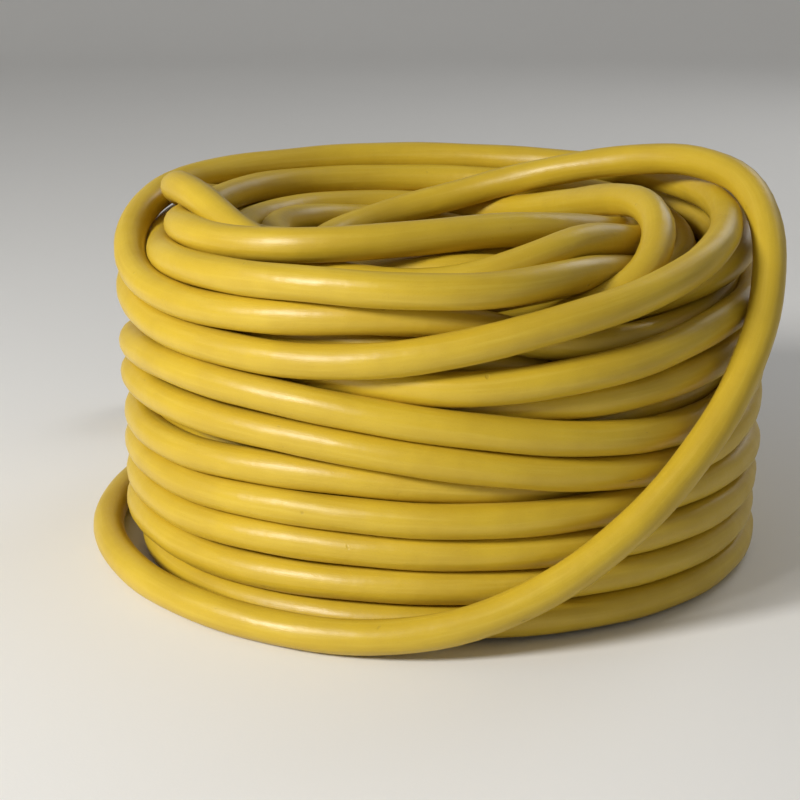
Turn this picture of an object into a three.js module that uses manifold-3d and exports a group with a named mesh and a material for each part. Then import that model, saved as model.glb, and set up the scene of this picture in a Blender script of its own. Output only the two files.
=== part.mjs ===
// A 12 AWG three-conductor outdoor extension cord, 30.5 m long, wound in a round coil that lies
// flat, with its grounding plug and its lighted connector on the floor behind the coil.
// Millimetres, +Z up. The two end fittings are cut open along the real joints: jacket, conductors,
// copper, contacts, carrier, overmould and strain relief are separate solids.
import * as THREE from 'three';
import { mergeVertices } from 'three/addons/utils/BufferGeometryUtils.js';
import Module from 'manifold-3d';

const wasm = await Module();
wasm.setup();

// ---- driving dimensions -------------------------------------------------------------------

const GAP = 0.3; // clearance between pieces that touch on the real object

const CORD_RADIUS = 5.45; // jacket of a 12 AWG three-conductor hard-service cord
const CORD_SIDES = 10;
const TUBE_STEP = 27;

const COIL_OUTER_RADIUS = 110;
const COIL_INNER_RADIUS = 50;
const COIL_HEIGHT = 118;
const COIL_CORNER = 12;
const COIL_SEGMENTS = 40;

const WIRE_RADIUS = 1.9; // insulation of one conductor
const COPPER_RADIUS = 1.1;
const WIRE_OFFSET = 2.8; // conductor axis from the cord's axis, where the three are twisted together
const WIRE_SIDES = 8;
const WIRE_STEPS = 8;

// Grounding plug and connector, both to the common 15 A 125 V pattern.
const BLADE_SPACING = 12.7;
const GROUND_DROP = 11.9; // ground pin from the line of the blades
const BLADE_LINE = 4.5; // line of the blades from the fitting's axis
const BLADE_THICKNESS = 1.5;
const HOT_WIDTH = 6.35;
const NEUTRAL_WIDTH = 7.9;
const BLADE_LENGTH = 17.5;
const GROUND_PIN_RADIUS = 2.4;
const GROUND_PIN_LENGTH = 20.5;
const BARREL_RADIUS = 2.4; // crimp barrel on the back of each blade and contact
const BARREL_LENGTH = 8;

const PLUG = {
  relief: 36, // length of the tapered strain relief
  face: 78, // from the cord's exit to the plug's face
  halfWidth: 15.5,
  below: 12.5, // axis to the flat underside
  above: 14.5,
  insertBack: 60,
  insertWidth: 20,
  insertBottom: -10,
  insertTop: 11.2,
};
const CONNECTOR = {
  relief: 34,
  face: 84,
  halfWidth: 17.5,
  below: 15,
  above: 16.5,
  insertBack: 54,
  insertWidth: 24,
  insertBottom: -12.5,
  insertTop: 10,
};

// Where the fittings lie. Both axes are level, and each flat underside is on the floor.
const PLUG_EXIT = [8, 123, PLUG.below];
const CONNECTOR_EXIT = [-42, 131, CONNECTOR.below];

// The loose last wrap: from the plug along the coil's foot, up over the front and across the top.
const PLUG_ROUTE = [
  PLUG_EXIT, [-7, 123, 12.2], [-24, 120.5, 9.5], [-42, 114.5, 6.6], [-64, 101.5, 5.6],
  [-91, 76, 5.5], [-110, 43, 5.5], [-118, 4, 5.5], [-113, -35, 5.5], [-94, -72, 5.5],
  [-66, -98, 5.6], [-34, -113, 6], [-6, -117.5, 9], [22, -116, 18], [52, -107, 36],
  [78, -90, 60], [94, -71, 82], [102, -51, 101], [104, -31, 116], [100.5, -16, 125],
  [91, 2, 128], [79, 17, 128], [63, 30, 125], [45, 40, 120.5], [27, 47, 115],
  [9, 51, 109.5],
];

// The other end: out of the top on the right, down against the back and on to the floor.
const CONNECTOR_ROUTE = [
  [104, 8, 115], [101.5, 29, 115.5], [93.5, 52, 115], [82, 74, 113], [67, 93, 106],
  [50, 107, 94], [31, 115, 76], [13, 120, 56], [-4, 124, 37], [-18, 127.5, 23.5],
  [-28, 130.3, 17], [-36, 131, 15.1], CONNECTOR_EXIT,
];

// ---- materials ----------------------------------------------------------------------------

const plastic = (color, roughness) =>
  new THREE.MeshStandardMaterial({ color, roughness, metalness: 0 });
const metal = (color, roughness) =>
  new THREE.MeshStandardMaterial({ color, roughness, metalness: 1 });

const YELLOW_JACKET = plastic('#d2b228', 0.42);
const YELLOW_OVERMOULD = plastic('#d0ae24', 0.5);
const BLACK_CARRIER = plastic('#26262a', 0.55);
const BRASS = metal('#c9a250', 0.3);
const COPPER = metal('#b96f42', 0.35);
const STEEL = metal('#b9b9bd', 0.3);
const WIRE_BLACK = plastic('#1d1d20', 0.5);
const WIRE_WHITE = plastic('#e4e4df', 0.5);
const WIRE_GREEN = plastic('#1f7a3d', 0.5);
const CLEAR_LENS = plastic('#f2c690', 0.12);
const LAMP_GLASS = plastic('#f0d9c8', 0.08);
const RESISTOR_BODY = plastic('#c8b28a', 0.5);

// ---- solid helpers ------------------------------------------------------------------------

// The same surface with shared vertices merged and no empty triangles.
function closed(geometry) {
  const bare = geometry.clone();
  bare.deleteAttribute('normal');
  bare.deleteAttribute('uv');
  const merged = mergeVertices(bare, 1e-4);
  const source = merged.index.array;
  const kept = [];
  for (let i = 0; i < source.length; i += 3) {
    const [a, b, c] = [source[i], source[i + 1], source[i + 2]];
    if (a !== b && b !== c && c !== a) kept.push(a, b, c);
  }
  merged.setIndex(kept);
  return merged;
}

function toSolid(geometry) {
  const shape = closed(geometry);
  return new wasm.Manifold(new wasm.Mesh({
    numProp: 3,
    vertProperties: new Float32Array(shape.attributes.position.array),
    triVerts: new Uint32Array(shape.index.array),
  }));
}

function toGeometry(solid) {
  const mesh = solid.getMesh();
  const geometry = new THREE.BufferGeometry();
  geometry.setAttribute('position', new THREE.BufferAttribute(mesh.vertProperties, 3));
  geometry.setIndex(new THREE.BufferAttribute(mesh.triVerts, 1));
  geometry.computeVertexNormals();
  return geometry;
}

const join = (...parts) =>
  toGeometry(parts.map(toSolid).reduce((whole, part) => whole.add(part)));
const cut = (body, ...tools) =>
  toGeometry(tools.map(toSolid).reduce((rest, tool) => rest.subtract(tool), toSolid(body)));

const vectors = (points) => points.map((p) => new THREE.Vector3(...p));
const smooth = (points) => new THREE.CatmullRomCurve3(vectors(points), false, 'centripetal');

function polygon(radius, sides) {
  const shape = new THREE.Shape();
  for (let i = 0; i < sides; i += 1) {
    const turn = (2 * Math.PI * i) / sides;
    const point = [radius * Math.cos(turn), radius * Math.sin(turn)];
    if (i === 0) shape.moveTo(...point);
    else shape.lineTo(...point);
  }
  shape.closePath();
  return shape;
}

const tube = (curve, radius, steps, sides) =>
  new THREE.ExtrudeGeometry(polygon(radius, sides), { steps, extrudePath: curve });

// A box from its ranges along X, Y and Z.
function block([x0, x1], [y0, y1], [z0, z1]) {
  const geometry = new THREE.BoxGeometry(x1 - x0, y1 - y0, z1 - z0);
  return geometry.translate((x0 + x1) / 2, (y0 + y1) / 2, (z0 + z1) / 2);
}

// A rod along X.
function rod([x0, x1], radius, y, z, sides = 16) {
  const geometry = new THREE.CylinderGeometry(radius, radius, x1 - x0, sides);
  return geometry.rotateZ(-Math.PI / 2).translate((x0 + x1) / 2, y, z);
}

// A turned piece about the X axis, from [x, radius] points.
function turned(profile, segments) {
  const points = profile.map(([x, radius]) => new THREE.Vector2(radius, x));
  return new THREE.LatheGeometry(points, segments).rotateZ(-Math.PI / 2);
}

// A closed skin over stations along X, each a ring of [y, z] points of the same count.
function loft(stations) {
  const count = stations[0].ring.length;
  const positions = stations.flatMap(({ x, ring }) => ring.flatMap(([y, z]) => [x, y, z]));
  const faces = [];
  for (let s = 0; s + 1 < stations.length; s += 1) {
    for (let i = 0; i < count; i += 1) {
      const [a, b] = [s * count + i, s * count + ((i + 1) % count)];
      faces.push(a, b, b + count, a, b + count, a + count);
    }
  }
  const last = (stations.length - 1) * count;
  for (let i = 1; i + 1 < count; i += 1) {
    faces.push(0, i + 1, i);
    faces.push(last, last + i, last + i + 1);
  }
  const geometry = new THREE.BufferGeometry();
  geometry.setAttribute('position', new THREE.Float32BufferAttribute(positions, 3));
  geometry.setIndex(faces);
  return geometry.toNonIndexed();
}

function piece(name, geometry, material) {
  const mesh = new THREE.Mesh(closed(geometry), material);
  mesh.name = name;
  return mesh;
}

// ---- cord ---------------------------------------------------------------------------------

const stepsAlong = (curve) => Math.round(curve.getLength() / TUBE_STEP);

function coilRing() {
  const corner = (cx, cz, from) => Array.from({ length: 3 }, (_, i) => {
    const turn = from + (i * Math.PI) / 4;
    return new THREE.Vector2(cx + COIL_CORNER * Math.cos(turn), cz + COIL_CORNER * Math.sin(turn));
  });
  const [inner, outer] = [COIL_INNER_RADIUS + COIL_CORNER, COIL_OUTER_RADIUS - COIL_CORNER];
  const [bottom, top] = [COIL_CORNER, COIL_HEIGHT - COIL_CORNER];
  const profile = [
    ...corner(outer, bottom, -Math.PI / 2),
    ...corner(outer, top, 0),
    ...corner(inner, top, Math.PI / 2),
    ...corner(inner, bottom, Math.PI),
  ];
  profile.push(profile[0].clone());
  return new THREE.LatheGeometry(profile, COIL_SEGMENTS).rotateX(Math.PI / 2);
}

function cord() {
  const tails = { cord_plug_tail: smooth(PLUG_ROUTE), cord_connector_tail: smooth(CONNECTOR_ROUTE) };
  const grooves = Object.values(tails).map((curve) =>
    tube(curve, CORD_RADIUS + GAP, stepsAlong(curve), CORD_SIDES));
  const group = new THREE.Group();
  group.add(piece('cord_coil', cut(coilRing(), ...grooves), YELLOW_JACKET));
  for (const [name, curve] of Object.entries(tails)) {
    group.add(piece(name, tube(curve, CORD_RADIUS, stepsAlong(curve), CORD_SIDES), YELLOW_JACKET));
  }
  return group;
}

// ---- what both end fittings share ---------------------------------------------------------
// Each fitting is built about its own X axis: the cord comes in at X = 0 and the face looks to +X.

const BARREL_OVERHANG = 9; // barrel behind the carrier
const BARREL_IN_CARRIER = 2;
const JACKET_PAST_RELIEF = 3;

// Outline across a fitting: round on top, square-shouldered with a flat underside.
function section(halfWidth, below, above) {
  const sides = 24;
  return Array.from({ length: sides }, (_, i) => {
    const turn = (2 * Math.PI * i) / sides;
    const [c, s] = [Math.cos(turn), Math.sin(turn)];
    const power = s > 0 ? 2 / 2.6 : 2 / 5;
    const y = halfWidth * Math.sign(c) * Math.abs(c) ** power;
    const z = s > 0 ? above * s ** power : -Math.min(below, 1.04 * below * (-s) ** power);
    return [y, z];
  });
}

const bodySkin = (stations) =>
  loft(stations.map(([x, ...size]) => ({ x, ring: section(...size) })));

// The tapered, ribbed sleeve that the cord comes out of.
function strainRelief(length, mouth, root) {
  const ribs = 4;
  const ribPitch = (length - 12) / ribs;
  const radius = (x) => mouth + ((root - mouth) * x) / length;
  const profile = [[0, CORD_RADIUS + GAP], [0, mouth - 0.6], [0.8, mouth]];
  for (let i = 0; i < ribs; i += 1) {
    const x = 3 + i * ribPitch;
    profile.push([x, radius(x)], [x + 0.6, radius(x) - 1.1]);
    profile.push([x + 1.8, radius(x) - 1.1], [x + 2.4, radius(x + 2.4)]);
  }
  profile.push([length, root], [length, CORD_RADIUS + GAP], [0, CORD_RADIUS + GAP]);
  return turned(profile, 20);
}

// One conductor from inside the jacket to its crimp barrel, as its curve points.
function conductorPoints({ y, z }, jacketEnd, barrelBack) {
  const reach = Math.hypot(y, z);
  const lobe = [(WIRE_OFFSET * y) / reach, (WIRE_OFFSET * z) / reach];
  return [
    [GAP, ...lobe], [jacketEnd - 4, ...lobe], [jacketEnd - 1, ...lobe],
    [barrelBack - 2.5, y, z], [barrelBack + 1, y, z], [barrelBack + 5, y, z],
  ];
}

function conductor({ y, z }, jacketEnd, barrelBack) {
  const points = conductorPoints({ y, z }, jacketEnd, barrelBack);
  const [start] = points;
  const behind = [start[0] - 1, start[1], start[2]];
  const curve = smooth(points);
  const longCurve = smooth([behind, ...points]);
  const stripped = block([barrelBack - GAP, barrelBack + 10], [y - 5, y + 5], [z - 5, z + 5]);
  return {
    copper: tube(curve, COPPER_RADIUS, WIRE_STEPS, WIRE_SIDES),
    insulation: cut(
      tube(curve, WIRE_RADIUS, WIRE_STEPS, WIRE_SIDES),
      tube(longCurve, COPPER_RADIUS + GAP, WIRE_STEPS, WIRE_SIDES),
      stripped,
    ),
    clearance: tube(longCurve, WIRE_RADIUS + GAP, WIRE_STEPS, WIRE_SIDES),
  };
}

// The crimp barrel on the back of a blade or contact, still without its bore.
const barrel = (spec, { y, z }) =>
  rod([spec.insertBack - BARREL_OVERHANG, spec.insertBack + BARREL_IN_CARRIER], BARREL_RADIUS, y, z);
const barrelBore = (spec, { y, z }) => {
  const back = spec.insertBack - BARREL_OVERHANG;
  return rod([back - 1, back + BARREL_LENGTH], COPPER_RADIUS + GAP, y, z, WIRE_SIDES);
};
const barrelClearance = (spec, { y, z }) => {
  const back = spec.insertBack - BARREL_OVERHANG;
  return rod([back - GAP, spec.insertBack + BARREL_IN_CARRIER + GAP], BARREL_RADIUS + GAP, y, z);
};

// The carrier's outline, grown on every side.
const carrierBlock = (spec, grow = 0, front = spec.face) => block(
  [spec.insertBack - grow, front],
  [-spec.insertWidth / 2 - grow, spec.insertWidth / 2 + grow],
  [spec.insertBottom - grow, spec.insertTop + grow],
);

// Overmould, strain relief, jacket end and conductors, which both fittings have.
function overmoulded(prefix, spec, stations, terminals, pockets) {
  const jacketEnd = spec.relief + JACKET_PAST_RELIEF;
  const barrelBack = spec.insertBack - BARREL_OVERHANG;
  const wires = Object.entries(terminals).map(([role, at]) =>
    [role, conductor(at, jacketEnd, barrelBack)]);
  const wireClearances = wires.map(([, wire]) => wire.clearance);
  const group = new THREE.Group();
  group.add(piece(`${prefix}_body`, cut(
    bodySkin(stations),
    rod([0, jacketEnd + GAP], CORD_RADIUS + GAP, 0, 0),
    carrierBlock(spec, GAP, spec.face + 5),
    ...wireClearances,
    ...Object.values(terminals).map((at) => barrelClearance(spec, at)),
    ...pockets,
  ), YELLOW_OVERMOULD));
  const [mouth, root] = [CORD_RADIUS + 2, stations[0][1] - 0.3];
  group.add(piece(`${prefix}_strain_relief`, strainRelief(spec.relief, mouth, root), YELLOW_OVERMOULD));
  const jacket = rod([GAP, jacketEnd], CORD_RADIUS, 0, 0);
  group.add(piece(`${prefix}_jacket_end`, cut(jacket, ...wireClearances), YELLOW_JACKET));
  const colours = { hot: WIRE_BLACK, neutral: WIRE_WHITE, ground: WIRE_GREEN };
  for (const [role, wire] of wires) {
    group.add(piece(`${prefix}_${role}_wire`, wire.insulation, colours[role]));
    group.add(piece(`${prefix}_${role}_copper`, wire.copper, COPPER));
  }
  return group;
}

// ---- plug ---------------------------------------------------------------------------------

function blade(at, width) {
  const flat = block(
    [PLUG.insertBack + 1, PLUG.face + BLADE_LENGTH],
    [at.y - BLADE_THICKNESS / 2, at.y + BLADE_THICKNESS / 2],
    [at.z - width / 2, at.z + width / 2],
  );
  return cut(join(barrel(PLUG, at), flat), barrelBore(PLUG, at));
}

function groundPin(at) {
  const straight = PLUG.face + GROUND_PIN_LENGTH - GROUND_PIN_RADIUS;
  const pin = turned([
    [PLUG.insertBack + 1, 0], [PLUG.insertBack + 1, GROUND_PIN_RADIUS], [straight, GROUND_PIN_RADIUS],
    [straight + 1.4, 2], [straight + 2.1, 1.2], [straight + 2.4, 0],
  ], 20).translate(0, at.y, at.z);
  return cut(join(barrel(PLUG, at), pin), barrelBore(PLUG, at));
}

function plug() {
  const terminals = {
    hot: { y: BLADE_SPACING / 2, z: -BLADE_LINE },
    neutral: { y: -BLADE_SPACING / 2, z: -BLADE_LINE },
    ground: { y: 0, z: GROUND_DROP - BLADE_LINE },
  };
  const { halfWidth, below, above } = PLUG;
  const stations = [
    [PLUG.relief + GAP, 10.8, 10.6, 10.8],
    [42, 12.6, 11.7, 12.2],
    [49, 14.8, below, 14],
    [57, halfWidth, below, above],
    [66, halfWidth - 0.8, below, above - 0.6],
    [74, halfWidth, below, above],
    [PLUG.face - 0.8, halfWidth, below, above],
    [PLUG.face, halfWidth - 0.8, below - 0.8, above - 0.8],
  ];
  const group = overmoulded('plug', PLUG, stations, terminals, []);
  const through = [PLUG.insertBack + 1 - GAP, PLUG.face + 1];
  const slot = ({ y, z }, width) => block(
    through,
    [y - BLADE_THICKNESS / 2 - GAP, y + BLADE_THICKNESS / 2 + GAP],
    [z - width / 2 - GAP, z + width / 2 + GAP],
  );
  group.add(piece('plug_blade_carrier', cut(
    carrierBlock(PLUG),
    ...Object.values(terminals).map((at) => barrelClearance(PLUG, at)),
    slot(terminals.hot, HOT_WIDTH),
    slot(terminals.neutral, NEUTRAL_WIDTH),
    rod(through, GROUND_PIN_RADIUS + GAP, terminals.ground.y, terminals.ground.z),
  ), BLACK_CARRIER));
  group.add(piece('plug_hot_blade', blade(terminals.hot, HOT_WIDTH), BRASS));
  group.add(piece('plug_neutral_blade', blade(terminals.neutral, NEUTRAL_WIDTH), BRASS));
  group.add(piece('plug_ground_pin', groundPin(terminals.ground), BRASS));
  group.position.set(...PLUG_EXIT);
  return group;
}

// ---- connector ----------------------------------------------------------------------------

const CONTACT_FRONT = CONNECTOR.face - 7;
const POCKET_BACK = CONNECTOR.insertBack + 1.2;
const POCKET_FRONT = CONTACT_FRONT + 1;
const LEAF = { inside: 1, outside: 1.8, height: 7.6 }; // the two springs that grip a blade
const SLEEVE = { inside: 2.75, outside: 4 }; // the sleeve that grips the ground pin
const SLOT_CLEARANCE = 0.45;

// Two leaves joined by a back plate, with the crimp barrel behind.
function bladeContact(at) {
  const high = [at.z - LEAF.height / 2, at.z + LEAF.height / 2];
  const back = POCKET_BACK + GAP;
  const plate = block([back, back + 1.5], [at.y - LEAF.outside, at.y + LEAF.outside], high);
  const leaves = [-1, 1].map((side) => {
    const edges = [at.y + side * LEAF.inside, at.y + side * LEAF.outside].sort((a, b) => a - b);
    return block([back + 1, CONTACT_FRONT], edges, high);
  });
  return cut(join(barrel(CONNECTOR, at), plate, ...leaves), barrelBore(CONNECTOR, at));
}

function groundContact(at) {
  const back = POCKET_BACK + GAP;
  const outer = rod([back, CONTACT_FRONT], SLEEVE.outside, at.y, at.z, 20);
  const hollow = rod([back + 1.5, CONTACT_FRONT + 1], SLEEVE.inside, at.y, at.z, 20);
  return cut(join(barrel(CONNECTOR, at), outer), hollow, barrelBore(CONNECTOR, at));
}

function contactCarrier(terminals) {
  const mouth = [POCKET_FRONT - 1, CONNECTOR.face + 1];
  const blades = [[terminals.hot, HOT_WIDTH], [terminals.neutral, NEUTRAL_WIDTH]];
  const pockets = blades.flatMap(([{ y, z }, width]) => {
    const room = [z - LEAF.height / 2 - GAP, z + LEAF.height / 2 + GAP];
    const halfSlot = BLADE_THICKNESS / 2 + SLOT_CLEARANCE;
    return [
      block([POCKET_BACK, POCKET_FRONT], [y - LEAF.outside - GAP, y + LEAF.outside + GAP], room),
      block(mouth, [y - halfSlot, y + halfSlot],
        [z - width / 2 - SLOT_CLEARANCE, z + width / 2 + SLOT_CLEARANCE]),
    ];
  });
  const { y, z } = terminals.ground;
  return cut(
    carrierBlock(CONNECTOR),
    ...pockets,
    rod([POCKET_BACK, POCKET_FRONT], SLEEVE.outside + GAP, y, z, 20),
    rod(mouth, GROUND_PIN_RADIUS + SLOT_CLEARANCE, y, z, 20),
    ...Object.values(terminals).map((at) => barrelClearance(CONNECTOR, at)),
  );
}

// The neon lamp and its resistor bridge the two blade contacts, under a clear lens.
const LAMP = { x: 50, z: 10.6, radius: 1.8, from: -1.5, to: 5.5 };
const RESISTOR = { radius: 1.3, from: -9, to: -3 };
const LEAD_RADIUS = 0.35;
const LENS_RADIUS = 3.8;
const LENS_BOTTOM = 12.9;

const crossRod = (from, to, radius) =>
  new THREE.CylinderGeometry(radius, radius, to - from, 16)
    .translate(LAMP.x, (from + to) / 2, LAMP.z);

function lead(points, radius) {
  return tube(smooth(points.map(([y, z]) => [LAMP.x, y, z])), radius, 5, 6);
}

function lens(grow) {
  const r = LENS_RADIUS + grow;
  const shoulder = CONNECTOR.above - 0.2;
  const profile = [
    [0, LENS_BOTTOM - grow], [r, LENS_BOTTOM - grow], [r, shoulder],
    [r * 0.85, shoulder + 0.8], [r * 0.5, shoulder + 1.3], [0, shoulder + 1.5],
  ].map(([radius, z]) => new THREE.Vector2(radius, z));
  return new THREE.LatheGeometry(profile, 16).rotateX(Math.PI / 2).translate(LAMP.x, 0, 0);
}

function indicator() {
  const leads = {
    indicator_lamp_lead: [[LAMP.to + GAP, LAMP.z], [8.6, 10.3], [9.7, 8], [9.45, 5]],
    indicator_middle_lead: [[RESISTOR.to + GAP, LAMP.z], [LAMP.from - GAP, LAMP.z]],
    indicator_resistor_lead: [[RESISTOR.from - GAP, LAMP.z], [-9.9, 10.2], [-10.1, 8], [-9.45, 5]],
  };
  const lamp = (grow) => crossRod(LAMP.from - grow, LAMP.to + grow, LAMP.radius + grow);
  const resistor = (grow) => crossRod(RESISTOR.from - grow, RESISTOR.to + grow, RESISTOR.radius + grow);
  return {
    pieces: [
      piece('indicator_lamp', lamp(0), LAMP_GLASS),
      piece('indicator_resistor', resistor(0), RESISTOR_BODY),
      piece('indicator_lens', lens(0), CLEAR_LENS),
      ...Object.entries(leads).map(([name, points]) =>
        piece(name, lead(points, LEAD_RADIUS), STEEL)),
    ],
    clearances: [
      lamp(GAP), resistor(GAP), lens(GAP),
      ...Object.values(leads).map((points) => lead(points, LEAD_RADIUS + GAP)),
    ],
  };
}

function connector() {
  const terminals = {
    hot: { y: BLADE_SPACING / 2, z: BLADE_LINE },
    neutral: { y: -BLADE_SPACING / 2, z: BLADE_LINE },
    ground: { y: 0, z: BLADE_LINE - GROUND_DROP },
  };
  const { halfWidth, below, above } = CONNECTOR;
  const stations = [
    [CONNECTOR.relief + GAP, 11.4, 11.2, 11.4],
    [39, 14, 13.2, 13.8],
    [46, 17, below, 16.2],
    [54, halfWidth, below, above],
    [CONNECTOR.face - 1, halfWidth, below, above],
    [CONNECTOR.face, halfWidth - 1, below - 1, above - 1],
  ];
  const { pieces, clearances } = indicator();
  const group = overmoulded('connector', CONNECTOR, stations, terminals, clearances);
  group.add(piece('connector_contact_carrier', contactCarrier(terminals), BLACK_CARRIER));
  group.add(piece('connector_hot_contact', bladeContact(terminals.hot), BRASS));
  group.add(piece('connector_neutral_contact', bladeContact(terminals.neutral), BRASS));
  group.add(piece('connector_ground_contact', groundContact(terminals.ground), BRASS));
  group.add(...pieces);
  group.position.set(...CONNECTOR_EXIT);
  group.rotation.z = Math.PI;
  return group;
}

// ---- the whole cord, with its footprint centred on the origin -------------------------------

const extensionCord = new THREE.Group();
extensionCord.add(cord(), plug(), connector());
extensionCord.updateMatrixWorld(true);
const extent = new THREE.Box3().setFromObject(extensionCord, true);
const centre = extent.getCenter(new THREE.Vector3());
extensionCord.position.set(-centre.x, -centre.y, -extent.min.z);

export default extensionCord;
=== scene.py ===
"""Looks of a heavy yellow extension cord, wound in a round coil that lies flat.

The cord is one tube with its real length. It is wound here turn by turn, its turns are settled against
each other by a short position-based solver, and it ends in the plug and the connector of the frame.
Everything is in metres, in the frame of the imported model.
"""

import math

import bmesh
import bpy
import numpy as np
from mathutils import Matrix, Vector


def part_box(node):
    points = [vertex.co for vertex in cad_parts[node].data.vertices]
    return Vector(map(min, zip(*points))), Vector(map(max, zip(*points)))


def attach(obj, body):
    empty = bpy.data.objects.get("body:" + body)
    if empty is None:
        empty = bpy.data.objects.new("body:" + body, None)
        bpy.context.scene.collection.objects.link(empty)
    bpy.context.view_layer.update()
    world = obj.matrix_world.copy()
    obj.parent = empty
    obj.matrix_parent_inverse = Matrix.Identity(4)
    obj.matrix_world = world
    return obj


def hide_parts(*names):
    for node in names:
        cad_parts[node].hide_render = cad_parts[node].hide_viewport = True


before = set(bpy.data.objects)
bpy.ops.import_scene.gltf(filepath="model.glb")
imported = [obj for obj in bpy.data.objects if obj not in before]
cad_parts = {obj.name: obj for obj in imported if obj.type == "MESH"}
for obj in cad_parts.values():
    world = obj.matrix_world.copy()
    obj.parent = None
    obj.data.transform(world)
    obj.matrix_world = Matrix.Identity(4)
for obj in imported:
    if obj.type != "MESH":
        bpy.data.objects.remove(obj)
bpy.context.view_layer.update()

MM = 0.001

# ---- sizes --------------------------------------------------------------------------------

CORD_DIAMETER = 0.0109
CORD_RADIUS = CORD_DIAMETER / 2
CORD_LENGTH = 30.5


def node_centre(name):
    low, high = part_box(name)
    return (np.array(low) + np.array(high)) / 2


COIL = node_centre("cord_coil") * (1, 1, 0)  # the coil's axis, on the floor

# The two free stretches of the cord, in millimetres from the coil's axis: the loose last wrap from
# the plug along the foot, up over the front and across the top, and the end that goes down the back.
PLUG_EXIT = (8, 123, 12.5)
CONNECTOR_EXIT = (-42, 131, 15)
PLUG_ROUTE = [
    PLUG_EXIT, (-7, 123, 12.2), (-24, 120.5, 9.5), (-42, 114.5, 6.6), (-64, 101.5, 5.6),
    (-91, 76, 5.5), (-110, 43, 5.5), (-118, 4, 5.5), (-113, -35, 5.5), (-94, -72, 5.5),
    (-66, -98, 5.6), (-34, -113, 6), (-6, -117.5, 9), (22, -116, 18), (52, -107, 36),
    (78, -90, 60), (94, -71, 82), (102, -51, 101), (104, -31, 116), (100.5, -16, 125),
    (91, 2, 128), (79, 17, 128), (63, 30, 125), (45, 40, 120.5), (27, 47, 115),
    (9, 51, 109.5),
]
CONNECTOR_ROUTE = [
    (104, 8, 115), (101.5, 29, 115.5), (93.5, 52, 115), (82, 74, 113), (67, 93, 106),
    (50, 107, 94), (31, 115, 76), (13, 120, 56), (-4, 124, 37), (-18, 127.5, 23.5),
    (-28, 130.3, 17), (-36, 131, 15.1), CONNECTOR_EXIT,
]

# ---- camera -------------------------------------------------------------------------------

VIEW_ELEVATION = math.radians(17)
VIEW_DISTANCE = 0.475
VIEW_TARGET = Vector(COIL) + Vector((-0.0145, -0.112, 0.079))
SENSOR_WIDTH = 36  # in millimetres, as is the focal length
FOCAL_LENGTH = 75
NEAREST_SEEN = 0.01


def add_camera():
    data = bpy.data.cameras.new("camera")
    data.sensor_width = SENSOR_WIDTH
    data.lens = FOCAL_LENGTH
    data.clip_start = NEAREST_SEEN
    camera = bpy.data.objects.new("camera", data)
    away = Vector((0, -math.cos(VIEW_ELEVATION), math.sin(VIEW_ELEVATION)))
    camera.location = VIEW_TARGET + VIEW_DISTANCE * away
    camera.rotation_euler = (-away).to_track_quat("-Z", "Y").to_euler()
    bpy.context.collection.objects.link(camera)
    bpy.context.scene.camera = camera


add_camera()

# ---- how the cord is wound ----------------------------------------------------------------
# A turn is a list of (azimuth in degrees, radius, height) in millimetres, in the order the cord runs,
# which is anticlockwise from above. Azimuth 270 is the front of the coil and 0 its right end.

OUTER = 104.5  # radius of the outermost layer's centreline
STATIONS = (250, 275, 300, 325, 360, 405, 450, 495, 540, 575)  # azimuths along an outer turn

# The turns of the outer layer from the floor up: heights at the stations.
OUTER_HEIGHTS = [
    (7, 8, 7, 5.5, 5.5, 5.5, 5.5, 8, 12, 15),
    (18.5, 20, 19, 17, 16.5, 16.5, 16.5, 20, 25, 28),
    (30.5, 31.5, 30.5, 27.5, 27.5, 27.5, 27.5, 31, 36, 39),
    (41.5, 42.5, 40.5, 37, 38.5, 38.5, 38.5, 42, 47, 50),
    (51.5, 51, 47, 43, 49.5, 49.5, 49.5, 53, 59, 62),
    (64, 55.5, 50.5, 47.5, 60.5, 60.5, 60.5, 65, 70, 73),
    (74.5, 67.5, 60.5, 57, 71, 71.5, 71.5, 71.5, 71, 70.5),
    (70, 73, 75, 77.5, 82, 82, 82, 82, 80, 79),
    (79, 80, 86.5, 91.5, 93, 93, 93, 91, 89, 86.5),
    (85, 93, 102, 111, 117, 118, 118, 114, 108, 100),
    (95, 98, 86, 89, 101, 104, 104, 104, 105, 106),
    (108, 108, 106, 95, 99.5, 107.5, 108, 111, 113, 114),
]
# How far in from the outer layer the same turns lie there: where one passes behind another it is deeper.
OUTER_DEPTHS = [
    (0, 0, 0, 0, 0, 0, 0, 0, 0, 0),
    (0, 0, 0, 0, 0, 0, 0, 0, 0, 0),
    (0, 0, 0, 0, 0, 0, 0, 0, 0, 0),
    (0, 0, 0, 0, 0, 0, 0, 0, 0, 0),
    (2, 9, 11, 9, 2, 0, 0, 0, 0, 0),
    (0, 0, 0, 0, 0, 0, 0, 0, 0, 0),
    (1, 0, 0, 0, 0, 0, 0, 2, 6, 8),
    (10, 10, 2, 0, 0, 0, 0, 2, 6, 9),
    (10, 7, 0, 0, 0, 0, 0, 0, 0, 0),
    (0, 0, 0, 3, 10, 16, 20, 16, 4, 0),
    (2, 9, 9.5, 11, 8.5, 0, 0, 0, 4, 3),
    (0, 0, 9, 29, 22, 11, 12, 11, 14, 18),
]

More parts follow.
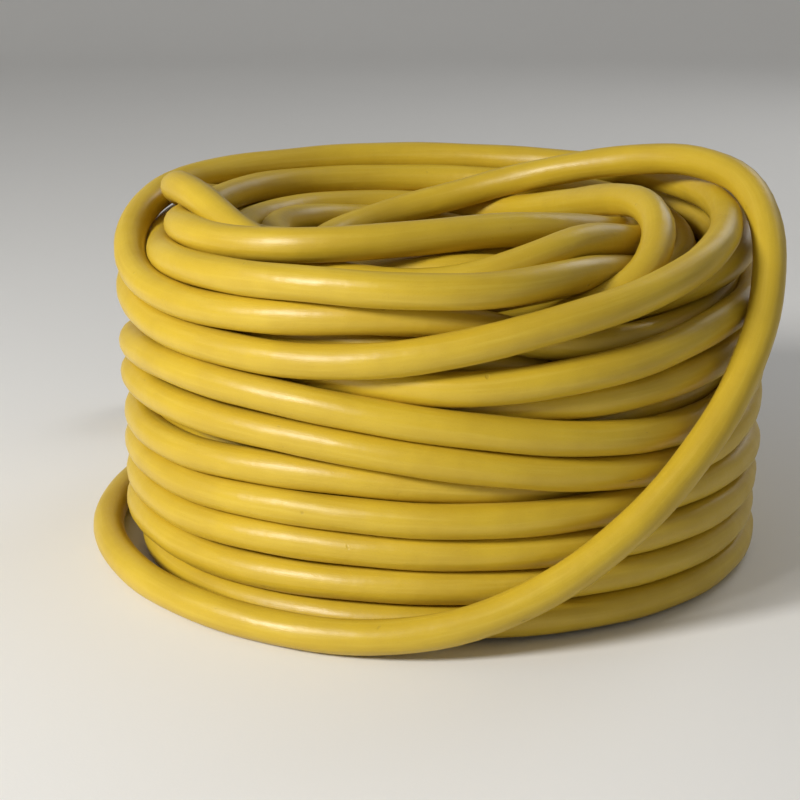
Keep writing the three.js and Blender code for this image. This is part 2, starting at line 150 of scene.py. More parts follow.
# The last turns, which lie across the top.
TOP_TURNS = [
    # a strand beside the top edge that crosses over the next one's end
    (610, 84, 106), (635, 85, 105), (645, 85, 106.5), (651, 86, 109), (657, 86, 113),
    (663, 82, 117), (669, 78, 118), (675, 74, 113), (685, 72, 106), (705, 76, 108),
    (720, 76, 109), (765, 76, 110), (810, 78, 111), (855, 84, 112), (900, 90, 113),
    (935, 94, 112.5),
    # one that spans the near side of the hole and dives under at the right
    (966, 90, 112), (978, 78, 116), (995, 61, 118), (1011, 62, 119), (1021, 69, 119),
    (1033, 70, 117), (1045, 65, 109), (1080, 60, 104), (1125, 67, 101), (1170, 75, 100),
    (1215, 79, 105), (1260, 84, 105),
    # one that comes up from under the front and crosses the hole to its far side
    (1325, 85, 87), (1350, 87, 86), (1362, 88, 87.5), (1372, 90, 91), (1381, 92, 96),
    (1389, 91, 102), (1397, 84, 110.5), (1404, 75, 117), (1411, 66, 120), (1418, 58, 120),
    (1425, 51, 118), (1440, 47, 113.5), (1450, 47, 110.5), (1470, 50, 108), (1489, 56, 105.5),
    (1507, 60, 104), (1530, 64, 103.5),
    (1570, 66, 105), (1620, 68, 107), (1665, 68, 109),
    # one that runs low along the near side, and climbs the inner wall at the far side
    (1690, 66, 110), (1715, 66, 109.5), (1740, 68, 107), (1753, 66, 101), (1765, 67, 96),
    (1785, 66, 94), (1800, 63, 93), (1830, 58, 93), (1860, 56, 93.5), (1890, 57, 94),
    (1920, 59, 96), (1945, 60, 102), (1970, 57, 107), (2010, 57, 108), (2050, 66, 100),
    (2075, 76, 92),
    (2090, 81, 90), (2100, 84, 90), (2110, 86, 93), (2118, 90, 98), (2130, 98.5, 101),
    (2145, 103.5, 104),
]
# The way from the plug's free stretch in to the innermost layer.
INTO_COIL = [
    (105, 47, 105), (150, 45, 100), (190, 46, 97), (225, 50, 95), (260, 55, 93), (320, 56, 89),
]

# The hidden layers, innermost first: radius, first height, last height, turns.
INNER_LAYERS = [
    (56, 97, 6, 8.4),
    (65.5, 7, 98, 8.4),
    (75.2, 97, 6, 8.4),
    (84.8, 7, 93, 7.9),
    (94.6, 88, 6, 7.5),
]
WINDING_SEED = 12
WANDER = 1.6  # standard deviation of a hidden station from its place
STATION_STEP = 45  # degrees between hidden stations
LAYER_GAP = 10  # degrees from a hidden layer's last station to the start of the next layer
OUTER_GAP = 30  # degrees from there to the first outer station, at least
ENTRY_HOLD = 0.6


def in_frame(points):
    """Millimetre points about the coil's axis, in metres in the frame."""
    return np.array(points, float) * MM + COIL


def coil_stations():
    """Rows of azimuth, radius, height and hold, all along the wound part. The azimuth rises throughout.

    Hold is how firmly the settling keeps a station at its place, from not at all at 0 to 1.
    """
    random = np.random.default_rng(WINDING_SEED)
    rows = [(azimuth, radius, height, ENTRY_HOLD) for azimuth, radius, height in INTO_COIL]
    azimuth = rows[-1][0]
    for radius, first, last, turns in INNER_LAYERS:
        steps = round(turns * 360 / STATION_STEP)
        for i in range(1, steps + 1):
            height = first + (last - first) * i / steps
            dr, dz = random.normal(0, WANDER, 2)
            rows.append((azimuth + i * STATION_STEP, radius + dr, height + dz, 0.0))
        azimuth = rows[-1][0] + LAYER_GAP
    base = 360 * math.ceil((azimuth + OUTER_GAP - STATIONS[0]) / 360)
    for heights, depths in zip(OUTER_HEIGHTS, OUTER_DEPTHS, strict=True):
        for station, height, depth in zip(STATIONS, heights, depths, strict=True):
            rows.append((base + station, OUTER - depth, height, 1.0))
        base += 360
    rows += [(base - 360 + azimuth, radius, height, 1.0) for azimuth, radius, height in TOP_TURNS]
    return np.array(rows)


NODE_SPACING = 0.008
SMOOTHING_DEGREES = 12  # the stations' radii and heights blend over this far to either side
ROUTE_STEPS = 8  # points from one route point to the next
WOUND_STEP = 3  # degrees between points of the wound part


def catmull_rom(points, per_span):
    """A smooth line through the points, with per_span steps between neighbours."""
    padded = np.vstack([2 * points[0] - points[1], points, 2 * points[-1] - points[-2]])
    t = np.linspace(0, 1, per_span, endpoint=False)[:, None]
    spans = []
    for a, b, c, d in zip(padded, padded[1:], padded[2:], padded[3:]):
        cubic = -a + 3 * b - 3 * c + d
        square = 2 * a - 5 * b + 4 * c - d
        spans.append(0.5 * (2 * b + (c - a) * t + square * t**2 + cubic * t**3))
    return np.vstack([*spans, points[-1:]])


def along(points):
    """Distance from the start at each point."""
    return np.concatenate([[0], np.cumsum(np.linalg.norm(np.diff(points, axis=0), axis=1))])


def evenly(points, spacing, *also):
    """The line again with even spacing, and other values per point carried over to it."""
    reach = along(points)
    marks = np.linspace(0, reach[-1], round(reach[-1] / spacing) + 1)
    line = np.column_stack([np.interp(marks, reach, points[:, k]) for k in range(3)])
    return line, *(np.interp(marks, reach, values) for values in also)


def first_route():
    """The cord's line before it settles, from the plug to the connector, with two values for each point.

    The first says how firmly it is held. The second is one on the free stretches and zero elsewhere.
    """
    rows = coil_stations()
    azimuth = np.arange(rows[0, 0], rows[-1, 0], 1.0)
    radius, height, hold = (np.interp(azimuth, rows[:, 0], rows[:, k]) for k in (1, 2, 3))
    kernel = np.hanning(2 * SMOOTHING_DEGREES + 1)
    kernel /= kernel.sum()
    radius, height = (
        np.convolve(np.pad(v, SMOOTHING_DEGREES, mode="edge"), kernel, mode="valid")
        for v in (radius, height)
    )
    turn = np.radians(azimuth)
    wound = np.column_stack([radius * np.cos(turn), radius * np.sin(turn), height])[::WOUND_STEP]
    hold = hold[::WOUND_STEP]
    plug_tail = catmull_rom(np.array(PLUG_ROUTE, float), ROUTE_STEPS)[:-1]
    connector_tail = catmull_rom(np.array(CONNECTOR_ROUTE, float), ROUTE_STEPS)
    line = np.vstack([plug_tail, wound, connector_tail])
    before, after = np.ones(len(plug_tail)), np.ones(len(connector_tail))
    held = np.concatenate([before, hold, after])
    free = np.concatenate([before, np.zeros(len(hold)), after])
    return evenly(in_frame(line), NODE_SPACING, held, free)


# ---- settling -----------------------------------------------------------------------------

SETTLE_ROUNDS = 440
PAIR_ROUNDS = 8  # rounds between searches for neighbouring stretches
SEARCH_MARGIN = 1.5  # how far past touching that search looks, in segments
SKIP = 4  # segments closer than this along the cord don't touch
PARALLEL = 1e-6  # squared sine of the angle below which two segments count as parallel
THIN = 0.6  # the cord starts at this part of its thickness, so that turns can slip past each other
THICKENING = 0.9  # and grows by this part of it over the whole settling, until it is full
PUSH = 0.8  # part of an overlap that a round takes away
PULL = 0.4  # part of a segment's stretch that either of its ends takes up in a round
STIFFNESS = 0.5
BEND_RADIUS = 0.048  # a bend tighter than this is opened
BEND_SHARE = 0.5  # part of it that goes in one step
BEND_STRIDES = (1, 2, 3, 4, 1, 2, 3)  # the segments on either side of a bend, step by step
HOLD = 0.25  # a held point goes this part of the way back to its laid place in a round, at first
HOLD_FADING = 1.4  # the hold fades at this rate over the whole settling
LEAST_HOLD = 0.03  # but this part of it always stays
FREE_HOLD = 0.12  # the free stretches' own hold, which doesn't fade
SAG = 0.000005  # the wound part falls this far in a round
FIXED_NODES = 6  # at either end
WOUND_REACH = 0.1062  # the wound part's centreline stays inside this radius
INWARD = 0.5  # part of the way back inside that a round takes


def near_pairs(line, reach):
    """Pairs of segments whose middles are closer than reach."""
    middle = ((line[:-1] + line[1:]) / 2).astype(np.float32)
    square = (middle**2).sum(1)
    apart = square[:, None] + square[None, :] - 2 * middle @ middle.T
    first, second = np.nonzero(apart < reach**2)
    keep = second - first >= SKIP
    return first[keep], second[keep]


def push_apart(line, first, second, thickness):
    """How far each node has to move to take touching stretches one thickness apart, and the deepest cut.

    Here s and t say how far along the first and second segment the two come nearest.
    """
    a, b = line[first], line[second]
    u, v, w = line[first + 1] - a, line[second + 1] - b, a - b
    uu, vv, uv = (u * u).sum(1), (v * v).sum(1), (u * v).sum(1)
    uw, vw = (u * w).sum(1), (v * w).sum(1)
    spread = uu * vv - uv * uv
    crossing = (uv * vw - uw * vv) / np.maximum(spread, 1e-20)
    s = np.where(spread > PARALLEL * uu * vv, crossing, 0.5)
    s = np.clip(s, 0, 1)
    t = np.clip((uv * s + vw) / vv, 0, 1)
    s = np.clip((uv * t - uw) / uu, 0, 1)
    between = a + u * s[:, None] - b - v * t[:, None]
    distance = np.linalg.norm(between, axis=1)
    touching = distance < thickness
    s, t, between, distance = s[touching], t[touching], between[touching], distance[touching]
    first, second = first[touching], second[touching]
    share = (1 - s) ** 2 + s**2 + (1 - t) ** 2 + t**2
    push = between * ((thickness - distance) / (share * np.maximum(distance, 1e-6)))[:, None]
    index = np.concatenate([first, first + 1, second, second + 1])
    weight = np.concatenate([1 - s, s, t - 1, -t])
    moves = weight[:, None] * np.vstack([push, push, push, push])
    count = np.bincount(index, minlength=len(line))
    total = np.column_stack([np.bincount(index, moves[:, k], len(line)) for k in range(3)])
    return total / np.sqrt(np.maximum(count, 1))[:, None], (thickness - distance).max(initial=0)


def straighten(line, stride):
    """Spreads out short bends, as the cord's stiffness does, and leaves even curves as they are.

    The fourth difference of a zigzag is 16 times its height.
    """
    a, b, c, d, e = (line[k * stride : len(line) - (4 - k) * stride] for k in range(5))
    line[2 * stride : len(line) - 2 * stride] -= STIFFNESS * (a - 4 * b + 6 * c - 4 * d + e) / 16


def open_bends(line, stride, rest):
    """Opens the places where the cord bends tighter than it may."""
    a, b, c = line[: -2 * stride], line[stride:-stride], line[2 * stride :]
    sag = (a + c) / 2 - b
    size = np.linalg.norm(sag, axis=1, keepdims=True)
    most = (stride * rest) ** 2 / (2 * BEND_RADIUS)
    move = BEND_SHARE * sag * np.maximum(1 - most / np.maximum(size, 1e-9), 0)
    line[stride:-stride] += move / 2
    line[: -2 * stride] -= move / 4
    line[2 * stride :] -= move / 4


def keep_length(line, rest):
    """Takes every segment part of the way to its own length."""
    step = np.diff(line, axis=0)
    size = np.linalg.norm(step, axis=1, keepdims=True)
    pull = PULL * step * (1 - rest / size)
    line[:-1] += pull
    line[1:] -= pull


def keep_inside(line, free):
    """Keeps the cord above the floor, and draws the wound part in where it bulges."""
    line[:, 2] = np.maximum(line[:, 2], CORD_RADIUS)
    flat = line[:, :2] - COIL[:2]
    radius = np.linalg.norm(flat, axis=1)
    limit = np.where(free > 0.5, np.inf, WOUND_REACH)
    over = np.maximum(radius - limit, 0) / radius
    line[:, :2] -= INWARD * flat * over[:, None]


def settle(line, hold, free):
    """Lets the turns find their places: none cuts another, the length stays, and nothing kinks."""
    start = line.copy()
    rest = CORD_LENGTH / (len(line) - 1)
    for r in range(SETTLE_ROUNDS):
        grown = min(1.0, THIN + THICKENING * r / SETTLE_ROUNDS)
        if r % PAIR_ROUNDS == 0:
            first, second = near_pairs(line, CORD_DIAMETER + SEARCH_MARGIN * rest)
        move, worst = push_apart(line, first, second, grown * CORD_DIAMETER)
        line = line + PUSH * move
        keep_length(line, rest)
        straighten(line, 1)
        straighten(line, 2)
        for stride in BEND_STRIDES:
            open_bends(line, stride, rest)
        fading = max(LEAST_HOLD, 1 - HOLD_FADING * r / SETTLE_ROUNDS)
        line += (HOLD * fading * hold * (1 - free) + FREE_HOLD * free)[:, None] * (start - line)
        line[:, 2] -= SAG * (1 - free)
        keep_inside(line, free)
        line[:FIXED_NODES] = start[:FIXED_NODES]
        line[-FIXED_NODES:] = start[-FIXED_NODES:]
    print(f"settled: deepest cut {worst / MM:.2f} mm")
    return line


# ---- mesh helpers -------------------------------------------------------------------------

SHARP_ANGLE = math.radians(38)


def add_piece(name, mesh, slot, sharp=True):
    """Puts a finished mesh in the scene as a piece of the object."""
    mesh.shade_smooth()
    if sharp:
        mesh.set_sharp_from_angle(angle=SHARP_ANGLE)
    piece = bpy.data.objects.new(name, mesh)
    bpy.context.collection.objects.link(piece)
    piece.data.materials.append(MATERIALS[slot])
    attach(piece, "root")
    return piece


def skin(loops, name):
    """A closed mesh through loops that hold equally many points, with a flat cap at either end."""
    loops = np.array(loops)
    rows, sides = loops.shape[:2]
    base = np.arange(rows - 1)[:, None] * sides
    here = np.arange(sides)[None, :]
    there = (here + 1) % sides
    quads = np.stack([base + here, base + there, base + sides + there, base + sides + here], axis=-1)
    last = (rows - 1) * sides
    caps = [list(range(sides))[::-1], list(range(last, last + sides))]
    mesh = bpy.data.meshes.new(name)
    mesh.from_pydata(loops.reshape(-1, 3).tolist(), [], quads.reshape(-1, 4).tolist() + caps)
    return mesh


def circle(x, radius, sides, y=0.0, z=0.0):
    """Points round the X axis, or round a line beside it."""
    turn = np.linspace(0, 2 * math.pi, sides, endpoint=False)
    radius = np.broadcast_to(radius, sides)
    return np.column_stack([np.full(sides, x), y + radius * np.cos(turn), z + radius * np.sin(turn)])


# ---- materials ----------------------------------------------------------------------------


class Shader:
    """One procedural material: small helpers round its node tree."""

    def __init__(self, name, **sockets):
        self.material = bpy.data.materials.new(name)
        self.material.use_nodes = True
        self.tree = self.material.node_tree
        self.surface = self.tree.nodes["Principled BSDF"]
        self.place = self.tree.nodes.new("ShaderNodeTexCoord").outputs["Object"]
        self.bump = None
        for socket, value in sockets.items():
            self.surface.inputs[socket.replace("_", " ")].default_value = value

    def node(self, kind, **inputs):
        made = self.tree.nodes.new(kind)
        for socket, value in inputs.items():
            self.feed(made.inputs[socket.replace("_", " ")], value)
        return made

    def feed(self, socket, value):
        if isinstance(value, bpy.types.NodeSocket):
            self.tree.links.new(value, socket)
        else:
            socket.default_value = value

    def scaled(self, place, scale):
        """The same coordinates, squeezed or stretched along each axis."""
        mapping = self.node("ShaderNodeMapping", Vector=place)
        mapping.inputs["Scale"].default_value = scale
        return mapping.outputs["Vector"]

    def noise(self, scale, detail, roughness, place=None):
        """Cloudy values about one half; scale counts waves per metre."""
        made = self.node("ShaderNodeTexNoise", Vector=place or self.place, Scale=scale)
        made.inputs["Detail"].default_value = detail
        made.inputs["Roughness"].default_value = roughness
        return made.outputs["Fac"]

    def ramp(self, value, low, high, start=0.0, end=1.0):
        """Carries low to high over to start to end, and holds outside them."""
        made = self.node("ShaderNodeMapRange", Value=value)
        made.interpolation_type = "SMOOTHSTEP"
        for socket, number in (("From Min", low), ("From Max", high), ("To Min", start), ("To Max", end)):
            made.inputs[socket].default_value = number
        return made.outputs["Result"]

    def mix(self, factor, a, b):
        made = self.tree.nodes.new("ShaderNodeMix")
        made.data_type = "RGBA"
        for socket, value in ((0, factor), (6, a), (7, b)):
            self.feed(made.inputs[socket], value if not isinstance(value, tuple) else (*value, 1.0))
        return made.outputs[2]

    def math(self, operation, a, b):
        made = self.tree.nodes.new("ShaderNodeMath")
        made.operation = operation
        self.feed(made.inputs[0], a)
        self.feed(made.inputs[1], b)
        return made.outputs[0]

    def part(self, value, amount):
        """The same values, times that amount."""
        return self.math("MULTIPLY", value, amount)

    def relief(self, height, depth, strength):
        """Adds bumps of that depth in metres on top of the ones before."""
        made = self.node("ShaderNodeBump", Height=height, Distance=depth, Strength=strength)
        if self.bump is not None:
            self.tree.links.new(self.bump, made.inputs["Normal"])
        self.bump = made.outputs["Normal"]

    def finish(self, colour, roughness):
        """Links the values to the surface, and gives back the material."""
        for socket, value in (("Base Color", colour), ("Roughness", roughness), ("Normal", self.bump)):
            if value is not None:
                self.feed(self.surface.inputs[socket], value)
        return self.material


def jacket_material():
    """Satin yellow rubber, drawn lengthways, with fine specks, shallow dents, pits and a few scuffs."""
    s = Shader("jacket_rubber", IOR=1.48)
    lay = s.node("ShaderNodeAttribute")
    lay.attribute_name = "lay"
    lay = lay.outputs["Vector"]
    cloud = s.noise(scale=38, detail=3, roughness=0.55)
    speck = s.noise(scale=2600, detail=2, roughness=0.6)
    drawn = s.noise(scale=1, detail=3, roughness=0.6, place=s.scaled(lay, DRAWN_WAVES))
    rubbed = s.noise(scale=1, detail=7, roughness=0.72, place=s.scaled(lay, SCUFF_WAVES))
    scuff = s.ramp(rubbed, low=0.665, high=0.76)
    grime = s.ramp(s.noise(scale=24, detail=5, roughness=0.65), low=0.58, high=0.8)
    pits = s.ramp(s.noise(scale=240, detail=1, roughness=0.5), low=0.775, high=0.82)
    colour = s.mix(s.ramp(cloud, low=0.32, high=0.68), YELLOW, YELLOW_DEEP)
    colour = s.mix(s.ramp(drawn, low=0.45, high=0.75, end=0.35), colour, YELLOW_PALE)
    colour = s.mix(s.ramp(speck, low=0.56, high=0.7, end=0.22), colour, YELLOW_SPECK)
    for mark, amount, stain in ((grime, 0.16, GRIME), (pits, 0.2, SCUFF), (scuff, 0.6, SCUFF)):
        colour = s.mix(s.part(mark, amount), colour, stain)
    roughness = s.ramp(cloud, low=0.3, high=0.7, start=0.33, end=0.42)
    roughness = s.math("ADD", roughness, s.ramp(drawn, low=0.4, high=0.7, end=0.06))
    roughness = s.math("ADD", roughness, s.part(scuff, amount=0.22))
    s.relief(s.noise(scale=130, detail=2, roughness=0.5), depth=0.0005, strength=0.5)
    s.relief(drawn, depth=0.00012, strength=0.6)
    s.relief(speck, depth=0.00005, strength=0.7)
    s.relief(s.math("ADD", scuff, pits), depth=-0.00015, strength=0.6)
    return s.finish(colour, roughness)


def overmould_material():
    """The same yellow, moulded over the ends: matt from a spark-eroded tool, worn smooth on the edges."""
    s = Shader("moulded_rubber", IOR=1.47)
    grain = s.noise(scale=3000, detail=2, roughness=0.6)
    cloud = s.noise(scale=60, detail=3, roughness=0.55)
    edge = s.node("ShaderNodeNewGeometry").outputs["Pointiness"]
    worn = s.ramp(edge, low=0.52, high=0.6)
    dirt = s.ramp(s.noise(scale=120, detail=6, roughness=0.7), low=0.56, high=0.75)
    colour = s.mix(s.ramp(cloud, low=0.3, high=0.7), OVERMOULD, YELLOW_DEEP)
    colour = s.mix(s.part(dirt, amount=0.3), colour, GRIME)
    colour = s.mix(s.part(worn, amount=0.35), colour, YELLOW_PALE)
    matt = s.ramp(cloud, low=0.3, high=0.7, start=0.5, end=0.62)
    roughness = s.math("SUBTRACT", matt, s.part(worn, amount=0.12))
    s.relief(grain, depth=0.00009, strength=0.8)
    s.relief(s.noise(scale=260, detail=2, roughness=0.5), depth=0.0002, strength=0.4)
    return s.finish(colour, roughness)


def plastic_material(name, colour, speck, roughness):
    """Hard moulded plastic: a faint flow pattern and an even fine grain."""
    s = Shader(name, IOR=1.5)
    flow = s.noise(scale=90, detail=3, roughness=0.6)
    grain = s.noise(scale=2800, detail=2, roughness=0.6)
    shade = s.mix(s.ramp(flow, low=0.35, high=0.7), colour, speck)
    s.relief(grain, depth=0.00006, strength=0.7)
    return s.finish(shade, s.ramp(flow, low=0.3, high=0.7, start=roughness - 0.05, end=roughness + 0.08))


def metal_material(name, colour, tarnish, roughness):
    """Rolled or drawn metal: fine lines along it, and darker tarnish in patches."""
    s = Shader(name, Metallic=1.0)
    lines = s.noise(scale=1, detail=3, roughness=0.65, place=s.scaled(s.place, METAL_WAVES))
    patch = s.ramp(s.noise(scale=210, detail=5, roughness=0.65), low=0.45, high=0.72)
    shade = s.mix(s.part(patch, amount=0.6), colour, tarnish)
    lined = s.ramp(lines, low=0.35, high=0.7, start=roughness - 0.05, end=roughness + 0.1)
    s.relief(lines, depth=0.00003, strength=0.6)
    return s.finish(shade, s.math("ADD", lined, s.part(patch, amount=0.1)))


def lens_material(name, colour, roughness):
    """Clear tinted plastic or glass, a little hazy and scratched."""
    s = Shader(name, IOR=1.49, Transmission_Weight=0.85)
    haze = s.noise(scale=400, detail=4, roughness=0.6)
    s.relief(s.noise(scale=900, detail=4, roughness=0.7), depth=0.00004, strength=0.5)
    shade = s.mix(s.ramp(haze, low=0.4, high=0.8, end=0.3), colour, HAZE)
    return s.finish(shade, s.ramp(haze, low=0.3, high=0.75, start=roughness, end=roughness + 0.15))


YELLOW = (0.58, 0.4, 0.026)
YELLOW_DEEP = (0.52, 0.35, 0.022)
YELLOW_PALE = (0.65, 0.48, 0.06)
YELLOW_SPECK = (0.4, 0.26, 0.02)
OVERMOULD = (0.55, 0.375, 0.026)
GRIME = (0.3, 0.19, 0.025)
SCUFF = (0.13, 0.085, 0.03)
HAZE = (0.9, 0.8, 0.7)

# Waves per metre along the piece and across it.
DRAWN_WAVES = (28, 620, 620)
SCUFF_WAVES = (52, 190, 190)
METAL_WAVES = (60, 2400, 2400)

MATERIALS = {
    "jacket": jacket_material(),
    "overmould": overmould_material(),
    "carrier": plastic_material("black_nylon", (0.018, 0.018, 0.02), (0.035, 0.034, 0.036), 0.45),
    "brass": metal_material("rolled_brass", (0.86, 0.62, 0.27), (0.5, 0.31, 0.12), roughness=0.24),
    "copper": metal_material("bunched_copper", (0.85, 0.42, 0.24), (0.42, 0.19, 0.1), roughness=0.3),
    "steel": metal_material("tinned_steel", (0.72, 0.72, 0.74), (0.45, 0.44, 0.43), roughness=0.28),
    "wire_black": plastic_material("black_insulation", (0.012, 0.012, 0.013), (0.03, 0.03, 0.03), 0.4),
    "wire_white": plastic_material("white_insulation", (0.8, 0.8, 0.76), (0.68, 0.67, 0.62), 0.4),
    "wire_green": plastic_material("green_insulation", (0.02, 0.22, 0.05), (0.03, 0.16, 0.05), 0.4),
    "lens": lens_material("amber_lens", (0.95, 0.5, 0.16), roughness=0.08),
    "lamp_glass": lens_material("neon_glass", (0.98, 0.9, 0.86), roughness=0.03),
    "resistor": plastic_material("resistor_body", (0.55, 0.43, 0.22), (0.46, 0.35, 0.17), 0.5),
}


def finish_cad_nodes():
    """Gives every CAD node that stays visible the material of its own slot."""
    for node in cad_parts.values():
        for k, material in enumerate(node.data.materials):
            node.data.materials[k] = MATERIALS[material.name.split(".")[0]]


finish_cad_nodes()

# ---- the cord -----------------------------------------------------------------------------

RING_SPACING = 0.006
RING_SIDES = 18
PATH_STEPS = 4  # points from one settled node to the next
CORES = 3
CORE_LAY = 0.11  # the cores inside make one turn in this length
CORE_RELIEF = 0.00009  # and show this much through the jacket


def frames(path):
    """Two crosswise axes at each point of the path, turning as little as they can."""
    ahead = np.gradient(path, axis=0)
    ahead /= np.linalg.norm(ahead, axis=1, keepdims=True)
    side = np.empty_like(ahead)
    first = np.cross(ahead[0], (0, 0, 1))
    side[0] = first / np.linalg.norm(first)
    for i in range(1, len(path)):
        turned = side[i - 1] - ahead[i] * (side[i - 1] @ ahead[i])
        side[i] = turned / np.linalg.norm(turned)
    return side, np.cross(ahead, side)


def cord_mesh(path):
    """The jacket: rings along the path, faintly lobed by the twisted cores under it."""
    side, up = frames(path)
    reach = along(path)[:, None]
    turn = np.linspace(0, 2 * math.pi, RING_SIDES, endpoint=False)[None, :]
    lobes = CORE_RELIEF * (np.cos(CORES * turn - 2 * math.pi * CORES * reach / CORE_LAY) - 1)
    radius = (CORD_RADIUS + lobes)[:, :, None]
    outward = np.cos(turn)[..., None] * side[:, None] + np.sin(turn)[..., None] * up[:, None]
    mesh = skin(path[:, None] + radius * outward, "power_cord")
    # for the material: distance along the cord, and the place across it
    lay = mesh.attributes.new("lay", "FLOAT_VECTOR", "POINT")
    across = np.broadcast_to(turn, (len(path), RING_SIDES))
    values = np.stack([
        np.broadcast_to(reach, across.shape),
        CORD_RADIUS * np.cos(across),
        CORD_RADIUS * np.sin(across),
    ], axis=-1)
    lay.data.foreach_set("vector", values.ravel())
    return mesh


def cord_route():
    line, hold, free = first_route()
    line = settle(line, hold, free)
    path = evenly(catmull_rom(line, PATH_STEPS), RING_SPACING)[0]
    path[:, 2] = np.maximum(path[:, 2], CORD_RADIUS)
    return path


def add_cord(path):
    piece = add_piece("power_cord", cord_mesh(path), "jacket", sharp=False)
    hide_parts("cord_coil", "cord_plug_tail", "cord_connector_tail")
    return piece


cord_path = cord_route()
cord = add_cord(cord_path)

# ---- the moulded ends ---------------------------------------------------------------------
# Both are built in millimetres about their own X axis: the cord comes in at X = 0 and the face looks
# to +X. They have the sizes of the CAD nodes that they stand for.

SKIN_SIDES = 96
# Sections of the two overmoulds: x, half width, how far below the axis and how far above.
PLUG_STATIONS = [
    (36.3, 10.8, 10.6, 10.8), (42, 12.6, 11.7, 12.2), (49, 14.8, 12.5, 14), (57, 15.5, 12.5, 14.5),
    (66, 14.7, 12.5, 13.9), (74, 15.5, 12.5, 14.5), (76.6, 15.5, 12.5, 14.5),
]
CONNECTOR_STATIONS = [
    (34.3, 11.4, 11.2, 11.4), (39, 14, 13.2, 13.8), (46, 17, 15, 16.2), (54, 17.5, 15, 16.5),
    (68, 17.2, 15, 16.2), (80, 17.5, 15, 16.5), (82.4, 17.5, 15, 16.5),
]
PLUG_FACE, CONNECTOR_FACE = 78, 84
PLUG_WINDOW = (-10.3, 10.3, -10.3, 11.5)  # the carrier shows through it: y from and to, z from and to
CONNECTOR_WINDOW = (-12.3, 12.3, -12.8, 10.3)
WINDOW_DEPTH = 12
WINDOW_LIP = 0.35  # chamfer round the window
CORD_HOLE = 5.6  # radius of the hole at the back
BACK_LIP = 0.4  # the back edge is this much smaller than the first section
EDGE = 1.4  # radius round the face
EDGE_STEPS = 5
LOOP_PITCH = 0.4
SPLINE_STEPS = 40  # between two sections
ROUND_TOP = 2 / 2.6  # exponents of the outline: at 1 it is an ellipse, near 0 a rectangle
SQUARE_FOOT = 2 / 5
FOOT_OVERSHOOT = 1.04  # the foot's curve goes this many times as deep, and is cut off flat
GRIP_PITCH = 2.6
GRIP_DEPTH = 0.7
GRIP_SHARPNESS = 1.5  # the higher it is, the narrower the grooves and the wider the lands between them
GRIP_EDGE = 0.86  # the flank starts at this part of the half width
GRIP_BLEND = 0.1
GRIP_HEIGHT = 9  # the grooves end this far above and below the axis
GRIP_FADE = 2


def placed(points, exit_point, turned_round):
    """Points of a fitting's own frame, in millimetres, carried into the frame in metres."""
    points = np.array(points, float)
    if turned_round:
        points = points * (-1, -1, 1)
    return (points + exit_point) * MM + COIL


def outline(x, half_width, below, above):
    """A section across a fitting: round on top, square-shouldered with a flat underside."""
    turn = np.linspace(0, 2 * math.pi, SKIN_SIDES, endpoint=False)
    c, s = np.cos(turn), np.sin(turn)
    y = half_width * np.sign(c) * np.abs(c) ** np.where(s > 0, ROUND_TOP, SQUARE_FOOT)
    upper = above * np.abs(s) ** ROUND_TOP
    lower = -np.minimum(below, FOOT_OVERSHOOT * below * np.abs(s) ** SQUARE_FOOT)
    return np.column_stack([np.full(SKIN_SIDES, x), y, np.where(s > 0, upper, lower)])


def window_loop(loop, window, x):
    """The same points drawn in to a rectangle, with its four corners kept."""
    left, right, bottom, top = window
    middle = np.array([(left + right) / 2, (bottom + top) / 2])
    half = np.array([(right - left) / 2, (top - bottom) / 2])
    out = (loop[:, 1:] - middle) / half
    square = out / np.abs(out).max(axis=1, keepdims=True)
    for corner in ((1, 1), (-1, 1), (-1, -1), (1, -1)):
        square[np.argmin(np.linalg.norm(square - corner, axis=1))] = corner
    return np.column_stack([np.full(len(loop), x), middle + square * half])


def gripped(loop, start, end):
    """Presses upright finger grooves into both flanks between start and end."""
    x = loop[0, 0]
    if not start < x < end:
        return loop
    fade = min(1, (x - start) / GRIP_PITCH, (end - x) / GRIP_PITCH)
    wave = 0.5 - 0.5 * math.cos(2 * math.pi * (x - start) / GRIP_PITCH)
    groove = GRIP_DEPTH * fade * wave**GRIP_SHARPNESS
    half_width = np.abs(loop[:, 1]).max()
    flank = np.clip((np.abs(loop[:, 1]) / half_width - GRIP_EDGE) / GRIP_BLEND, 0, 1)
    level = np.clip((GRIP_HEIGHT - np.abs(loop[:, 2])) / GRIP_FADE, 0, 1)
    pressed = loop.copy()
    pressed[:, 1] -= np.sign(loop[:, 1]) * groove * flank * level
    return pressed


def shell_loops(stations, face, window, grip):
    """The overmould, from round the cord, out over its skin and in to the carrier's pocket."""
    stations = np.array(stations, float)
    back, front = stations[0], stations[-1]
    sizes = catmull_rom(stations, SPLINE_STEPS)
    loops = [circle(back[0], CORD_HOLE, SKIN_SIDES), outline(back[0], *(back[1:] - BACK_LIP))]
    for x in np.arange(back[0], front[0], LOOP_PITCH)[1:]:
        size = [np.interp(x, sizes[:, 0], sizes[:, k]) for k in (1, 2, 3)]
        loops.append(gripped(outline(x, *size), *grip))
    for step in range(EDGE_STEPS + 1):
        angle = math.pi / 2 * step / EDGE_STEPS
        inset = EDGE * (1 - math.cos(angle))
        x = face - EDGE + EDGE * math.sin(angle)
        loops.append(outline(x, *(front[1:] - inset)))
    rim = loops[-1]
    grown = np.array(window) + WINDOW_LIP * np.array((-1, 1, -1, 1))
    loops += [window_loop(rim, grown, face), window_loop(rim, window, face - WINDOW_LIP)]
    loops.append(window_loop(rim, window, face - WINDOW_DEPTH))
    return loops


